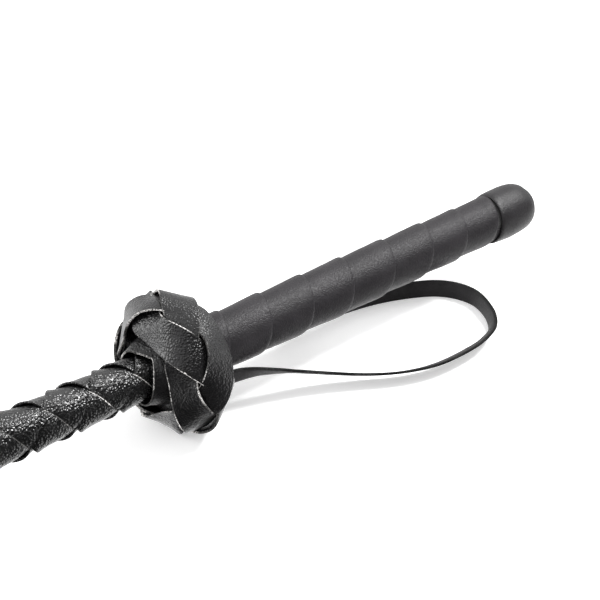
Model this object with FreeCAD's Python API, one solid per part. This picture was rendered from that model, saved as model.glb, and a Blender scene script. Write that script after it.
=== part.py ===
import FreeCAD, Part
import math
import os

# Riding crop, in millimetres. The crop lies level along X: +X towards the keeper, -X towards the
# butt, +Z up. The origin is the centre of the cylindrical band of the butt cap.

V = FreeCAD.Vector
AXIS = V(1, 0, 0)
ORIGIN = V(0, 0, 0)

# ---- driving dimensions -----------------------------------------------------------------------
CLEAR = 0.05              # radial clearance between nested pieces that don't move
JOINT_GAP = 0.3           # clearance between pieces on either side of a joint

KNOT_X = 208.0            # centre of the knot
KNOT_RING_R = 20.5        # centre circle of the knot's ring
KNOT_TUBE_R = 11.0        # half thickness of the ring
KNOT_FRONT = 1.3          # how much further the ring reaches towards the keeper than towards the butt
KNOT_STRAP_T = 1.8        # leather over the knot's core
KNOT_BORE_R = 14.1        # where the knot's leather turns in beside the handle
KNOT_CORE_BORE_R = 13.4

BUTT_X = -16.0            # outer face of the butt cap
CAP_EDGE_X = 16.0         # open edge of the butt cap
CAP_R = 13.0              # band of the butt cap
CAP_BAND = 16.0           # length of the band
CAP_INNER_R = 11.7
CAP_WALL = 1.3
CAP_ROUND = 8.0           # rounding of the butt's end

WRAP_TURNS = 8
WRAP_PITCH = 24.3         # advance of the handle's spiral strap per turn
WRAP_STEP = 0.6           # how far the covering edge stands over the turn that it overlaps
WRAP_END_X = KNOT_X + 2.0
WRAP_R_KNOT = 13.0        # outer radius of the wrapped handle at the knot
WRAP_R_CAP = 12.3         # and at the butt cap
PADDING_R_KNOT = 11.3
PADDING_R_CAP = 10.6

TUBE_R = 10.0
TUBE_BORE_R = 7.5
TUBE_FRONT_X = KNOT_X - 2.0
TUBE_REAR_X = BUTT_X + CAP_WALL + 2.4
BUSH_LENGTH = 12.0
PLUG_LENGTH = 15.0

ROD_R = 2.5               # fibreglass rod
ROD_REAR_X = 6.0
ROD_TIP_X = KNOT_X + 440.0

SHAFT_X = KNOT_X + 3.0    # rear end of the plaited strands
SHAFT_TIP_X = KNOT_X + 428.0
STRAND_COUNT = 4
STRAND_T = 1.4
STRAND_GAP = 0.06         # half the gap between neighbouring strands
# Radius over the plait: nearly even by the knot, then tapering to the tip.
SHAFT_TAPER = [(SHAFT_X, 10.0), (KNOT_X + 90.0, 9.8), (KNOT_X + 260.0, 7.6), (SHAFT_TIP_X, 4.2)]
BELLY_REAR_X = KNOT_X - 40.0

BINDING_TURN = 1.1        # pitch of the waxed thread
STRAND_BINDING_X = KNOT_X + 3.4
STRAND_BINDING_TURNS = 5
COLLAR_X = KNOT_X + 9.2
COLLAR_LENGTH = 9.8
COLLAR_R = 12.3           # at its front edge
COLLAR_BULGE = 2.6        # how much wider it is where it meets the knot

WHIPPING_X = SHAFT_TIP_X - 4.0
WHIPPING_TURNS = 17
WHIPPING_R = 4.55         # inner radius of the tip's whipping
TIP_CAP_R = 3.1
TIP_CAP_LENGTH = 14.0

KEEPER_HINGE_X = KNOT_X + 452.0
KEEPER_LENGTH = 66.0
KEEPER_LEAF_T = 1.6
KEEPER_LEAF_GAP = 0.2
KEEPER_NECK_W = 10.0
KEEPER_W = 28.0
KEEPER_SHOULDER = 20.0    # length over which the tongue widens
KEEPER_CORNER = 6.0
KEEPER_T = 2 * KEEPER_LEAF_T + KEEPER_LEAF_GAP
STITCH_LENGTH = 3.0
STITCH_WIDTH = 0.7
STITCH_HEIGHT = 0.4
STITCH_SPACING = 4.4
STITCH_INSET = 2.4

STRAP_W = 9.5             # wrist strap, standing on its edge
STRAP_T = 1.3
STRAP_EXIT = V(KNOT_X - 17.0, 11.0, -14.0)
TAIL_FRONT_X = KNOT_X + 4.0
FLOOR_Z = -(KNOT_RING_R + KNOT_TUBE_R)
STRAP_Z = FLOOR_Z + STRAP_W / 2

# Route of the wrist strap's loop, measured from the knot's centre: out of the knot on the +Y side,
# down to the floor, round the end of the loop under the handle, and back to the knot on the -Y side.
STRAP_ROUTE = [
    (-17.0, 11.0, -14.0),
    (-30.0, 11.0, -14.0),
    (-48.0, 16.0, -18.6),
    (-64.0, 23.4, -23.2),
    (-79.0, 32.6, -26.2),
    (-93.0, 42.0, STRAP_Z),
    (-109.0, 48.5, STRAP_Z),
    (-127.0, 49.8, STRAP_Z),
    (-144.0, 48.4, STRAP_Z),
    (-156.5, 43.0, STRAP_Z),
    (-164.5, 31.5, STRAP_Z),
    (-169.0, 17.5, STRAP_Z),
    (-162.5, 2.0, STRAP_Z),
    (-146.5, -7.8, STRAP_Z),
    (-129.0, -14.5, STRAP_Z),
    (-108.0, -18.2, STRAP_Z),
    (-86.0, -19.8, STRAP_Z),
    (-66.0, -18.8, -24.4),
    (-48.0, -15.2, -19.2),
    (-30.0, -11.0, -14.0),
    (-17.0, -11.0, -14.0),
]


# ---- helpers ----------------------------------------------------------------------------------
def turned(profile, angle=360.0):
    """Solid of revolution about the crop's axis of a closed outline of (x, radius) points."""
    points = [V(x, 0, r) for x, r in profile]
    face = Part.Face(Part.makePolygon(points + points[:1]))
    return face.revolve(ORIGIN, AXIS, angle)


def ring(x0, x1, r_in, r_out):
    """Plain sleeve between two radii."""
    outer = Part.makeCylinder(r_out, x1 - x0, V(x0, 0, 0), AXIS)
    return outer.cut(Part.makeCylinder(r_in, x1 - x0, V(x0, 0, 0), AXIS))


def at(x, table):
    """Radius at x on a polyline of (x, radius)."""
    for (x0, r0), (x1, r1) in zip(table, table[1:]):
        if x <= x1:
            return r0 + (r1 - r0) * (x - x0) / (x1 - x0)
    return table[-1][1]


def on_handle(x, r_cap, r_knot):
    """Radius of a layer of the handle at x, tapering evenly from the knot to the cap."""
    return r_cap + (r_knot - r_cap) * (x - CAP_EDGE_X) / (KNOT_X - CAP_EDGE_X)


def thread_binding(x0, turns, r_in):
    """Close turns of round thread: a sleeve with one rounded ridge a turn."""
    base = r_in + BINDING_TURN * 0.35
    edges = [Part.LineSegment(V(x0, 0, base), V(x0, 0, r_in)).toShape()]
    x1 = x0 + turns * BINDING_TURN
    edges.append(Part.LineSegment(V(x0, 0, r_in), V(x1, 0, r_in)).toShape())
    edges.append(Part.LineSegment(V(x1, 0, r_in), V(x1, 0, base)).toShape())
    for i in reversed(range(turns)):
        a = x0 + i * BINDING_TURN
        top = V(a + BINDING_TURN / 2, 0, base + BINDING_TURN * 0.3)
        edges.append(Part.Arc(V(a + BINDING_TURN, 0, base), top, V(a, 0, base)).toShape())
    face = Part.Face(Part.Wire(Part.__sortEdges__(edges)))
    return face.revolve(ORIGIN, AXIS, 360)


def knot_ring(tube_r):
    """Ring of the knot: its tube is half a circle towards the butt and half an ellipse towards the keeper."""
    centre = V(KNOT_X, 0, KNOT_RING_R)
    outermost = centre + V(0, 0, tube_r)
    innermost = centre - V(0, 0, tube_r)
    front = centre + V(tube_r * KNOT_FRONT, 0, 0)
    rear = centre - V(tube_r, 0, 0)
    ellipse = Part.Ellipse(front, outermost, centre)
    half_turn = math.pi / 2
    front_half = Part.ArcOfEllipse(ellipse, -half_turn, half_turn).toShape()
    rear_half = Part.Arc(outermost, rear, innermost).toShape()
    return Part.Face(Part.Wire([front_half, rear_half])).revolve(ORIGIN, AXIS, 360)


def rounded_route(points):
    """Wire of straight runs joined by tangent arcs, each arc as large as its two runs allow."""
    edges = []
    here = points[0]
    length = 0.0
    for before, corner, after in zip(points, points[1:], points[2:]):
        into = corner - before
        out = after - corner
        half_turn = into.getAngle(out) / 2
        shorter = min(into.Length, out.Length)
        back = 0.45 * shorter
        radius = back / math.tan(half_turn)
        into.normalize()
        out.normalize()
        start = corner - into * back
        end = corner + out * back
        to_middle = out - into
        to_middle.normalize()
        centre_distance = math.hypot(radius, back)
        middle = corner + to_middle * (centre_distance - radius)
        edges.append(Part.LineSegment(here, start).toShape())
        edges.append(Part.Arc(start, middle, end).toShape())
        length += here.distanceToPoint(start) + radius * 2 * half_turn
        here = end
        print("bend radius %.1f mm, turn %.0f degrees" % (radius, math.degrees(2 * half_turn)))
    edges.append(Part.LineSegment(here, points[-1]).toShape())
    length += here.distanceToPoint(points[-1])
    return Part.Wire(edges), length


def strap_bar(x0, x1, y, grow=0.0):
    """Straight stretch of wrist strap along X on one side of the handle, at the strap's exit height."""
    w = STRAP_W + 2 * grow
    t = STRAP_T + 2 * grow
    return Part.makeBox(x1 - x0, t, w, V(x0, y - t / 2, STRAP_EXIT.z - w / 2))


# ---- handle -----------------------------------------------------------------------------------
def core_rod():
    return Part.makeCylinder(ROD_R, ROD_TIP_X - ROD_REAR_X, V(ROD_REAR_X, 0, 0), AXIS)


def handle_tube():
    return ring(TUBE_REAR_X, TUBE_FRONT_X, TUBE_BORE_R, TUBE_R)


def rod_bush(x0):
    return ring(x0, x0 + BUSH_LENGTH, ROD_R + CLEAR, TUBE_BORE_R - CLEAR)


def butt_plug():
    plug = Part.makeCylinder(TUBE_BORE_R - CLEAR, PLUG_LENGTH, V(TUBE_REAR_X, 0, 0), AXIS)
    return plug.makeChamfer(0.8, [e for e in plug.Edges if e.BoundBox.XMin > TUBE_REAR_X + 1])


def handle_padding():
    rear = TUBE_REAR_X + 6
    return turned([
        (rear, TUBE_R + CLEAR),
        (TUBE_FRONT_X, TUBE_R + CLEAR),
        (TUBE_FRONT_X, on_handle(TUBE_FRONT_X, PADDING_R_CAP, PADDING_R_KNOT)),
        (CAP_EDGE_X, PADDING_R_CAP),
        (rear, PADDING_R_CAP),
    ])


def handle_wrap():
    """One strap wound in a spiral: each turn tops the next one towards the butt."""
    rear = TUBE_REAR_X + 6
    under_cap_r = CAP_INNER_R - CLEAR
    inner = [
        (rear, PADDING_R_CAP + CLEAR),
        (CAP_EDGE_X, PADDING_R_CAP + CLEAR),
        (WRAP_END_X, on_handle(WRAP_END_X, PADDING_R_CAP, PADDING_R_KNOT) + CLEAR),
    ]
    outer = [(WRAP_END_X, WRAP_R_KNOT)]
    seam = KNOT_X - 27.8
    for _ in range(WRAP_TURNS):
        if seam <= CAP_EDGE_X + 1:
            break
        r = on_handle(seam, WRAP_R_CAP, WRAP_R_KNOT)
        outer.append((seam + 0.4, r))
        outer.append((seam, r - WRAP_STEP))
        seam -= WRAP_PITCH
    outer += [(CAP_EDGE_X + 0.6, WRAP_R_CAP), (CAP_EDGE_X, under_cap_r), (rear, under_cap_r)]
    return turned(inner + outer)


def butt_cap():
    length = CAP_EDGE_X - BUTT_X
    band_end = CAP_BAND / 2
    outside = turned([
        (BUTT_X, 0),
        (BUTT_X, CAP_R),
        (band_end, CAP_R),
        (CAP_EDGE_X - 2, CAP_R - 0.3),
        (CAP_EDGE_X, CAP_R - 0.3),
        (CAP_EDGE_X, 0),
    ])
    outside = outside.makeFillet(CAP_ROUND, [e for e in outside.Edges if e.BoundBox.XMax < BUTT_X + 0.1
                                             and e.BoundBox.YLength > CAP_R])
    hollow = Part.makeCylinder(CAP_INNER_R, length - CAP_WALL, V(BUTT_X + CAP_WALL, 0, 0), AXIS)
    hollow = hollow.makeFillet(CAP_ROUND - CAP_WALL, [e for e in hollow.Edges
                                                      if e.BoundBox.XMax < BUTT_X + CAP_WALL + 0.1])
    return outside.cut(hollow)


# ---- knot -------------------------------------------------------------------------------------
def tail_slots():
    """Room for the wrist strap's two ends where they pass through the knot."""
    slots = [strap_bar(KNOT_X - 20, TAIL_FRONT_X + CLEAR, side * STRAP_EXIT.y, CLEAR) for side in (1, -1)]
    return Part.makeCompound(slots)


def knot_core():
    bore = Part.makeCylinder(KNOT_CORE_BORE_R, 60, V(KNOT_X - 30, 0, 0), AXIS)
    return knot_ring(KNOT_TUBE_R - KNOT_STRAP_T - CLEAR).cut(bore).cut(tail_slots())


def knot_strap():
    bore = Part.makeCylinder(KNOT_BORE_R, 60, V(KNOT_X - 30, 0, 0), AXIS)
    shell = knot_ring(KNOT_TUBE_R).cut(knot_ring(KNOT_TUBE_R - KNOT_STRAP_T))
    return shell.cut(bore).cut(tail_slots())


def wrist_strap_tails():
    rear = STRAP_EXIT.x + STRAP_W / 2 + JOINT_GAP
    return Part.makeCompound([strap_bar(rear, TAIL_FRONT_X, side * STRAP_EXIT.y) for side in (1, -1)])


# ---- wrist strap ------------------------------------------------------------------------------
def wrist_strap():
    points = [V(KNOT_X + x, y, z) for x, y, z in STRAP_ROUTE]
    path, length = rounded_route(points)
    x, y, z = points[0]
    half_t = STRAP_T / 2
    half_w = STRAP_W / 2
    corners = [
        V(x, y - half_t, z - half_w),
        V(x, y + half_t, z - half_w),
        V(x, y + half_t, z + half_w),
        V(x, y - half_t, z + half_w),
    ]
    section = Part.makePolygon(corners + corners[:1])
    sweep = Part.BRepOffsetAPI.MakePipeShell(path)
    sweep.setBiNormalMode(V(0, 0, 1))
    sweep.add(section)
    sweep.build()
    sweep.makeSolid()
    strap = sweep.shape()
    print("wrist strap centreline %.1f mm" % length)
    print("volume / (section x length) = %.4f" % (strap.Volume / (STRAP_W * STRAP_T * length)))
    for end in (points[0], points[-1]):
        eye = Part.makeCylinder(half_w, STRAP_T, V(end.x, end.y - half_t, end.z), V(0, 1, 0))
        strap = strap.fuse(eye)
    return strap.removeSplitter()


# ---- shaft ------------------------------------------------------------------------------------
def shaft_belly():
    """Tapered filler on the rod, with a spigot that plugs into the handle's tube."""
    outer = [(x, r - STRAND_T - 2 * CLEAR) for x, r in SHAFT_TAPER]
    return turned(
        [(BELLY_REAR_X, ROD_R + CLEAR), (SHAFT_TIP_X, ROD_R + CLEAR)]
        + outer[:0:-1]
        + [(TUBE_FRONT_X + CLEAR, outer[0][1]), (TUBE_FRONT_X + CLEAR, TUBE_BORE_R - CLEAR)]
        + [(BELLY_REAR_X, TUBE_BORE_R - CLEAR)]
    )


def shaft_strand(index):
    """One of the plaited strands, as its quarter of the plait's sleeve."""
    outer = SHAFT_TAPER
    inner = [(x, r - STRAND_T) for x, r in SHAFT_TAPER]
    share = 360.0 / STRAND_COUNT
    gap = math.degrees(STRAND_GAP / SHAFT_TAPER[-1][1])
    strand = turned(inner + outer[::-1], share - 2 * gap)
    strand.rotate(ORIGIN, AXIS, share * index + gap)
    return strand


def strand_binding():
    return thread_binding(STRAND_BINDING_X, STRAND_BINDING_TURNS, SHAFT_TAPER[0][1] + CLEAR)


def shaft_collar():
    """Short flared cuff round the shaft's root, from inside the knot to its open front edge."""
    front = COLLAR_X + COLLAR_LENGTH
    bore = SHAFT_TAPER[0][1] + CLEAR
    widest = COLLAR_R + COLLAR_BULGE
    return turned([
        (COLLAR_X, bore),
        (front - 4.0, bore),
        (front, COLLAR_R - 1.0),
        (front, COLLAR_R),
        (COLLAR_X + 4.6, widest),
        (COLLAR_X + 3.2, widest - 0.5),
        (COLLAR_X + 1.6, widest - 1.8),
        (COLLAR_X, widest - 3.2),
    ])


# ---- tip and keeper ---------------------------------------------------------------------------
def tip_cap():
    x0 = ROD_TIP_X - TIP_CAP_LENGTH + 3
    cap = Part.makeCylinder(TIP_CAP_R, TIP_CAP_LENGTH, V(x0, 0, 0), AXIS)
    cap = cap.makeFillet(1.2, [e for e in cap.Edges if e.BoundBox.XMin > x0 + 1])
    return cap.cut(Part.makeCylinder(ROD_R + CLEAR, ROD_TIP_X + CLEAR - x0, V(x0, 0, 0), AXIS))


def tip_whipping():
    return thread_binding(WHIPPING_X, WHIPPING_TURNS, WHIPPING_R)


def keeper_neck():
    """Root of the keeper, folded round the shaft's tip and held under the whipping."""
    rear = SHAFT_TIP_X + 0.2
    sleeve_end = ROD_TIP_X + 5
    flat_end = KEEPER_HINGE_X - KEEPER_T / 2 - JOINT_GAP
    sleeve = Part.makeCylinder(WHIPPING_R - CLEAR, sleeve_end - rear, V(rear, 0, 0), AXIS)
    flat_start = WHIPPING_X + WHIPPING_TURNS * BINDING_TURN + JOINT_GAP
    half_w = KEEPER_NECK_W / 2
    flat = Part.makeBox(flat_end - flat_start, KEEPER_NECK_W, KEEPER_T, V(flat_start, -half_w, -KEEPER_T / 2))
    room = Part.makeCylinder(TIP_CAP_R + CLEAR, ROD_TIP_X + 3 + CLEAR - rear, V(rear, 0, 0), AXIS)
    return sleeve.fuse(flat).cut(room).removeSplitter()


def keeper_outline(inset=0.0):
    """Corner points of the tongue's outline, from the hinge to the free end, on the +Y side."""
    return [
        (0.0, KEEPER_NECK_W / 2 - inset),
        (6.0, KEEPER_NECK_W / 2 - inset),
        (6.0 + KEEPER_SHOULDER, KEEPER_W / 2 - inset),
        (KEEPER_LENGTH - KEEPER_CORNER, KEEPER_W / 2 - inset),
        (KEEPER_LENGTH - inset, KEEPER_W / 2 - KEEPER_CORNER),
    ]


def keeper_tongue():
    """Leather folded over at the free end: two leaves with a slit between them."""
    side = keeper_outline()
    points = [V(KEEPER_HINGE_X + x, y, -KEEPER_T / 2) for x, y in side]
    points += [V(KEEPER_HINGE_X + x, -y, -KEEPER_T / 2) for x, y in reversed(side)]
    blank = Part.Face(Part.makePolygon(points + points[:1])).extrude(V(0, 0, KEEPER_T))
    root = Part.makeCylinder(KEEPER_T / 2, KEEPER_NECK_W, V(KEEPER_HINGE_X, -KEEPER_NECK_W / 2, 0), V(0, 1, 0))
    slit = Part.makeBox(KEEPER_LENGTH - 10, KEEPER_W + 2, KEEPER_LEAF_GAP,
                        V(KEEPER_HINGE_X + 7, -KEEPER_W / 2 - 1, -KEEPER_LEAF_GAP / 2))
    return blank.fuse(root).cut(slit).removeSplitter()


def keeper_stitching():
    """Stitches along both long edges, on both faces."""
    stitches = []
    rise = KEEPER_T / 2 + CLEAR
    x = 6.0 + KEEPER_SHOULDER + 1
    while x + STITCH_LENGTH < KEEPER_LENGTH - KEEPER_CORNER:
        for y in (KEEPER_W / 2 - STITCH_INSET, -KEEPER_W / 2 + STITCH_INSET):
            for z in (rise, -rise - STITCH_HEIGHT):
                corner = V(KEEPER_HINGE_X + x, y - STITCH_WIDTH / 2, z)
                stitches.append(Part.makeBox(STITCH_LENGTH, STITCH_WIDTH, STITCH_HEIGHT, corner))
        x += STITCH_SPACING
    return Part.makeCompound(stitches)


# ---- build ------------------------------------------------------------------------------------
NODES = {
    "core_rod": core_rod,
    "handle_tube": handle_tube,
    "rod_bush_front": lambda: rod_bush(BELLY_REAR_X - CLEAR - BUSH_LENGTH),
    "rod_bush_rear": lambda: rod_bush(ROD_REAR_X + 6),
    "butt_plug": butt_plug,
    "handle_padding": handle_padding,
    "handle_wrap": handle_wrap,
    "butt_cap": butt_cap,
    "knot_core": knot_core,
    "knot_strap": knot_strap,
    "wrist_strap_tails": wrist_strap_tails,
    "wrist_strap": wrist_strap,
    "shaft_belly": shaft_belly,
    "strand_binding": strand_binding,
    "shaft_collar": shaft_collar,
    "tip_cap": tip_cap,
    "tip_whipping": tip_whipping,
    "keeper_neck": keeper_neck,
    "keeper_tongue": keeper_tongue,
    "keeper_stitching": keeper_stitching,
}
for strand in range(STRAND_COUNT):
    NODES["shaft_strand_%d" % (strand + 1)] = lambda index=strand: shaft_strand(index)

os.makedirs("parts", exist_ok=True)
for name, make in NODES.items():
    shape = make()
    shape.exportStep("parts/%s.step" % name)
    print("%s: %d solid(s), %.1f mm3, valid %s" % (name, len(shape.Solids), shape.Volume, shape.isValid()))
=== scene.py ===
import math

import bpy
import numpy as np
from mathutils import Matrix, Vector, noise


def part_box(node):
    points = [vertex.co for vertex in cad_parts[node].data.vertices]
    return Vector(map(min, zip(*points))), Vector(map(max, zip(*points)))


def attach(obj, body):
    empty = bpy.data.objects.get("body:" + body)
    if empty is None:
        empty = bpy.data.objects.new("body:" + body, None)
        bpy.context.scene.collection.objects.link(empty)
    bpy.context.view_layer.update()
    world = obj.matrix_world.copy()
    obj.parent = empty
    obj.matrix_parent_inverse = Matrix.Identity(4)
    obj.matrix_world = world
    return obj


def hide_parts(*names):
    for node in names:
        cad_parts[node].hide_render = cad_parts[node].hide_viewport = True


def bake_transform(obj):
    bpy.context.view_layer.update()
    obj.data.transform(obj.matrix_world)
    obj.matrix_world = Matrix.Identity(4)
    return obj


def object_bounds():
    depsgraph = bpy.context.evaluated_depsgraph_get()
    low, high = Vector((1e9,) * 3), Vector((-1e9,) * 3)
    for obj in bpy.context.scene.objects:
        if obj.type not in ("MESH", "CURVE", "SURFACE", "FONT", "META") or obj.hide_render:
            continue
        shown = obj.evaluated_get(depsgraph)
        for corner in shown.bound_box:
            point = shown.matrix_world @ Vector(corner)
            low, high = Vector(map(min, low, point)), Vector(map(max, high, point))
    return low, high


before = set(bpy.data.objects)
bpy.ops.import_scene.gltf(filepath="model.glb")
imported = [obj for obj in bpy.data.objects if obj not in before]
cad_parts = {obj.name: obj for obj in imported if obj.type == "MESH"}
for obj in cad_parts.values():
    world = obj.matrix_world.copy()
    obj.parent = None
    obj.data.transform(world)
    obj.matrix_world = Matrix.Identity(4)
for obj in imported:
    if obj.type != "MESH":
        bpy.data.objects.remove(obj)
CAD_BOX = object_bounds()

# Lengths are in metres, in the frame of the CAD model: X along the crop, towards the keeper.
# Angles round the crop start at the top (+Z) and grow towards the +Y side.

# ---- places and sizes that follow the CAD model -------------------------------------------------
KNOT_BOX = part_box("knot_strap")
CAP_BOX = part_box("butt_cap")
WRAP_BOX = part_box("handle_wrap")
STRAND_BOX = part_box("shaft_strand_1")
WHIPPING_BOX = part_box("tip_whipping")
TONGUE_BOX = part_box("keeper_tongue")
NECK_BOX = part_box("keeper_neck")

KNOT_TUBE_R = 0.011          # of the CAD model's ring
KNOT_RING_R = KNOT_BOX[1].z - KNOT_TUBE_R
KNOT_X = KNOT_BOX[0].x + KNOT_TUBE_R
FLOOR_Z = CAD_BOX[0].z

# ---- camera -------------------------------------------------------------------------------------
VIEW_AZIMUTH = math.radians(139.44)
VIEW_ELEVATION = math.radians(31.92)
LENS = 78.0
SENSOR = 36.0
# The knot's centre from the camera: to the right, up and backwards.
KNOT_IN_VIEW = Vector((-0.053, -0.0259, -0.5548))


def add_camera():
    back = Vector((
        math.sin(VIEW_AZIMUTH) * math.cos(VIEW_ELEVATION),
        -math.cos(VIEW_AZIMUTH) * math.cos(VIEW_ELEVATION),
        math.sin(VIEW_ELEVATION),
    ))
    right = Vector((0, 0, 1)).cross(back).normalized()
    up = back.cross(right)
    data = bpy.data.cameras.new("camera")
    data.lens = LENS
    data.sensor_width = SENSOR
    data.clip_start = 0.01
    data.clip_end = 20.0
    camera = bpy.data.objects.new("camera", data)
    bpy.context.scene.collection.objects.link(camera)
    turn = Matrix((right, up, back)).transposed()
    place = Vector((KNOT_X, 0, 0)) - turn @ KNOT_IN_VIEW
    camera.matrix_world = Matrix.Translation(place) @ turn.to_4x4()
    bpy.context.scene.camera = camera


add_camera()


# ---- materials ----------------------------------------------------------------------------------
CREASE_DEPTH = 0.00006       # of the faint creases in the leather


def new_material(name, base, roughness, **inputs):
    """A Principled material with its plain values set on the shader itself."""
    material = bpy.data.materials.new(name)
    material.use_nodes = True
    shader = material.node_tree.nodes["Principled BSDF"]
    shader.inputs["Base Color"].default_value = (*base, 1)
    shader.inputs["Roughness"].default_value = roughness
    for key, value in inputs.items():
        shader.inputs[key.replace("_", " ")].default_value = value
    return material, material.node_tree, shader


def texture(tree, kind, scale, **settings):
    """A texture node in the piece's own coordinates."""
    place = tree.nodes.new("ShaderNodeTexCoord")
    node = tree.nodes.new(kind)
    node.inputs["Scale"].default_value = scale
    for key, value in settings.items():
        if key in node.inputs:
            node.inputs[key].default_value = value
        else:
            setattr(node, key, value)
    tree.links.new(place.outputs["Object"], node.inputs["Vector"])
    return node


def remap(tree, source, low, high, to_low, to_high):
    node = tree.nodes.new("ShaderNodeMapRange")
    node.inputs["From Min"].default_value = low
    node.inputs["From Max"].default_value = high
    node.inputs["To Min"].default_value = to_low
    node.inputs["To Max"].default_value = to_high
    tree.links.new(source, node.inputs["Value"])
    return node.outputs["Result"]


def bump(tree, height, distance, normal=None):
    node = tree.nodes.new("ShaderNodeBump")
    node.inputs["Distance"].default_value = distance
    node.inputs["Strength"].default_value = 1.0
    tree.links.new(height, node.inputs["Height"])
    if normal is not None:
        tree.links.new(normal, node.inputs["Normal"])
    return node.outputs["Normal"]


def mix_colours(tree, factor, first, second):
    node = tree.nodes.new("ShaderNodeMix")
    node.data_type = "RGBA"
    node.inputs["A"].default_value = (*first, 1)
    node.inputs["B"].default_value = (*second, 1)
    tree.links.new(factor, node.inputs["Factor"])
    return node.outputs["Result"]


def leather(name, dark, light, rough_low, rough_high, grain, grain_depth, shine=0.5):
    """Coated black leather: pebbled grain, uneven gloss, faint creases and slight colour changes.
    dark and light are the ends of its colour, rough_low and rough_high those of its roughness.
    grain is the size of a pebble, grain_depth its height, and shine the strength of the gloss."""
    material, tree, shader = new_material(name, dark, rough_high, Specular_IOR_Level=shine)
    links = tree.links
    patches = texture(tree, "ShaderNodeTexNoise", 70.0, Detail=4.0, Roughness=0.6)
    tone = remap(tree, patches.outputs["Fac"], 0.35, 0.68, 0, 1)
    links.new(mix_colours(tree, tone, dark, light), shader.inputs["Base Color"])
    speckle = texture(tree, "ShaderNodeTexNoise", 0.6 / grain, Detail=3.0, Roughness=0.7)
    gloss = remap(tree, speckle.outputs["Fac"], 0.3, 0.7, rough_low, rough_high)
    links.new(gloss, shader.inputs["Roughness"])
    cells = texture(tree, "ShaderNodeTexVoronoi", 1 / grain, feature="SMOOTH_F1", Smoothness=0.4)
    pebbles = remap(tree, cells.outputs["Distance"], 0.1, 0.75, 1, 0)
    fine = bump(tree, pebbles, grain_depth)
    folds = texture(tree, "ShaderNodeTexNoise", 260.0, Detail=5.0, Roughness=0.65, Distortion=0.6)
    links.new(bump(tree, folds.outputs["Fac"], CREASE_DEPTH, normal=fine), shader.inputs["Normal"])
    return material


def cut_edge(name, dark, light):
    """Raw cut edge of a strap: the light fibres of its cloth backing, showing in patches where the
    dark coating has worn off. On the plait's strands, the pale copy is a painted highlight and the
    dark copy painted shade."""
    material, tree, shader = new_material(name, light, 0.85, Specular_IOR_Level=0.2)
    fibres = texture(tree, "ShaderNodeTexNoise", 1300.0, Detail=3.0, Roughness=0.7)
    patches = texture(tree, "ShaderNodeTexNoise", 75.0, Detail=2.0)
    share = remap(tree, fibres.outputs["Fac"], 0.40, 0.56, 0, 1)
    bare = remap(tree, patches.outputs["Fac"], 0.48, 0.56, 0.12, 1)
    both = tree.nodes.new("ShaderNodeMath")
    both.operation = "MULTIPLY"
    tree.links.new(share, both.inputs[0])
    tree.links.new(bare, both.inputs[1])
    colour = mix_colours(tree, both.outputs["Value"], dark, light)
    tree.links.new(colour, shader.inputs["Base Color"])
    tree.links.new(bump(tree, fibres.outputs["Fac"], 0.0003), shader.inputs["Normal"])
    return material


def thread(name, colour, spacing):
    """Waxed thread, with its twist as fine slanted ridges: a painted highlight on each ridge and
    painted shade between.
    """
    material, tree, shader = new_material(name, colour, 0.55)
    twist = texture(
        tree, "ShaderNodeTexWave", 1 / spacing, bands_direction="DIAGONAL", Distortion=1.5,
    )
    # Painted light and shade: the twist's ridge tops are paler and its grooves darker.
    pale = tuple(c * 1.9 for c in colour)
    ridges = twist.outputs["Fac"]
    tree.links.new(mix_colours(tree, ridges, colour, pale), shader.inputs["Base Color"])
    tree.links.new(bump(tree, ridges, 0.0001), shader.inputs["Normal"])
    return material


def moulded(name, dark, light, roughness, scale):
    """Plain inner parts: plastic, felt or resin, with a fine uneven surface."""
    material, tree, shader = new_material(name, dark, roughness)
    mottle = texture(tree, "ShaderNodeTexNoise", scale, Detail=5.0, Roughness=0.6)
    share = remap(tree, mottle.outputs["Fac"], 0.35, 0.65, 0, 1)
    tree.links.new(mix_colours(tree, share, dark, light), shader.inputs["Base Color"])
    tree.links.new(bump(tree, mottle.outputs["Fac"], 0.0001), shader.inputs["Normal"])
    return material


HANDLE_LEATHER = leather(
    "handle_leather", (0.0105, 0.0088, 0.0109), (0.0185, 0.0160, 0.0190),
    0.44, 0.58, 0.0006, 0.00012, shine=0.42,
)
CAP_LEATHER = leather(
    "cap_leather", (0.0090, 0.0080, 0.0092), (0.0160, 0.0145, 0.0162),
    0.38, 0.50, 0.0006, 0.00009, shine=0.42,
)
KNOT_LEATHER = leather(
    "knot_leather", (0.0035, 0.0033, 0.0036), (0.0080, 0.0077, 0.0084),
    0.27, 0.43, 0.0009, 0.00022, shine=0.60,
)
PLAIT_LEATHER = leather(
    "plait_leather", (0.0030, 0.0030, 0.0032), (0.0070, 0.0070, 0.0074),
    0.21, 0.36, 0.0010, 0.00030, shine=0.85,
)
STRAP_LEATHER = leather(
    "strap_leather", (0.0130, 0.0123, 0.0130), (0.0220, 0.0206, 0.0220),
    0.52, 0.68, 0.0006, 0.00006, shine=0.22,
)
KEEPER_LEATHER = leather(
    "keeper_leather", (0.0035, 0.0035, 0.0038), (0.0085, 0.0085, 0.0090),
    0.30, 0.46, 0.0006, 0.00009,
)
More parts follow.
